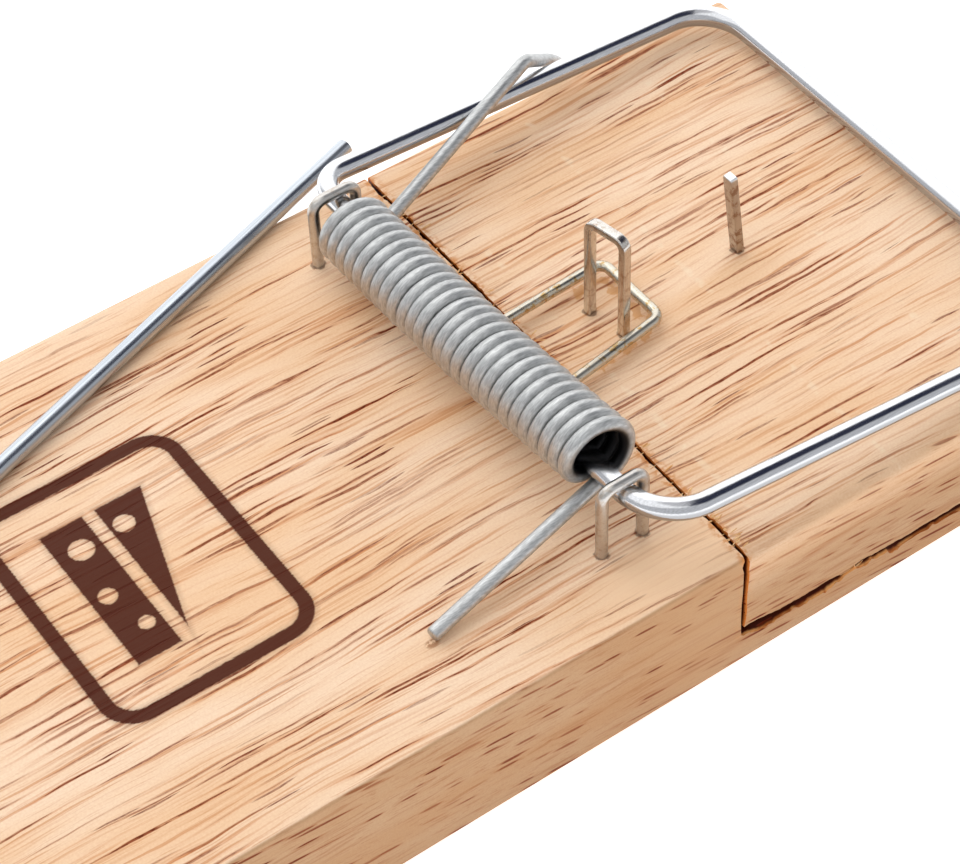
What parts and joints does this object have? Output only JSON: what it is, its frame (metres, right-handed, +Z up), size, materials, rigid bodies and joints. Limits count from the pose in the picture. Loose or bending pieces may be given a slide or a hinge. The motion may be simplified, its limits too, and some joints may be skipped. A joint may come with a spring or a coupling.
{
  "type": "snap mouse trap",
  "caption": "Wooden snap trap with a wire jaw driven by a torsion spring, a hinged locking rod and a tilting wooden treadle with catch and bait spike.",
  "frame": {"origin": "centre of the wooden block's underside", "axes": "+X along the block towards the end bar of the closed jaw, +Y across the block towards the side where the locking rod's tip lies, +Z up through the top face"},
  "size_m": [0.098, 0.0507, 0.0213],
  "materials": {
    "base_block": "plain sawn and sanded light hardwood with red-brown pores",
    "treadle": "same wood as the block, with a split underside",
    "jaw": "bright zinc-plated wire",
    "torsion_spring": "dull drawn spring steel, light zinc plating",
    "axle_staple_near": "plain bright staple wire",
    "axle_staple_far": "plain bright staple wire",
    "locking_rod": "smooth drawn steel wire",
    "rod_staple": "plain bright staple wire",
    "treadle_loop": "worn plated wire with a brassy tone",
    "catch_staple": "flattened bright wire",
    "bait_spike": "flattened wire, cut off at the top"
  },
  "bodies": {
    "base": {"base_block": "base_block", "torsion_spring": "torsion_spring", "axle_staple_near": "axle_staple_near", "axle_staple_far": "axle_staple_far", "rod_staple": "rod_staple", "treadle_loop": "treadle_loop"},
    "treadle": {"treadle": "treadle", "catch_staple": "catch_staple", "bait_spike": "bait_spike"},
    "jaw": {"jaw": "jaw"},
    "rod": {"locking_rod": "locking_rod"}
  },
  "joints": [
    {"name": "jaw_swing", "type": "hinge", "parent": "base", "child": "jaw", "pos_m": [0.0084, 0, 0.01655], "axis": [0, -1, 0], "range_deg": [0, 188.5], "stiffness_Nm_per_rad": 0.035, "springref_deg": -89.95, "deforming": ["torsion_spring"]},
    {"name": "rod_lift", "type": "hinge", "parent": "base", "child": "rod", "pos_m": [-0.04301, 0.00396, 0.01231], "axis": [0.3234, -0.9463, 0], "range_deg": [0, 170]},
    {"name": "treadle_tilt", "type": "hinge", "parent": "base", "child": "treadle", "pos_m": [0.0242, 0, 0.0032], "axis": [0, -1, 0], "range_deg": [0, 1.3]}
  ]
}
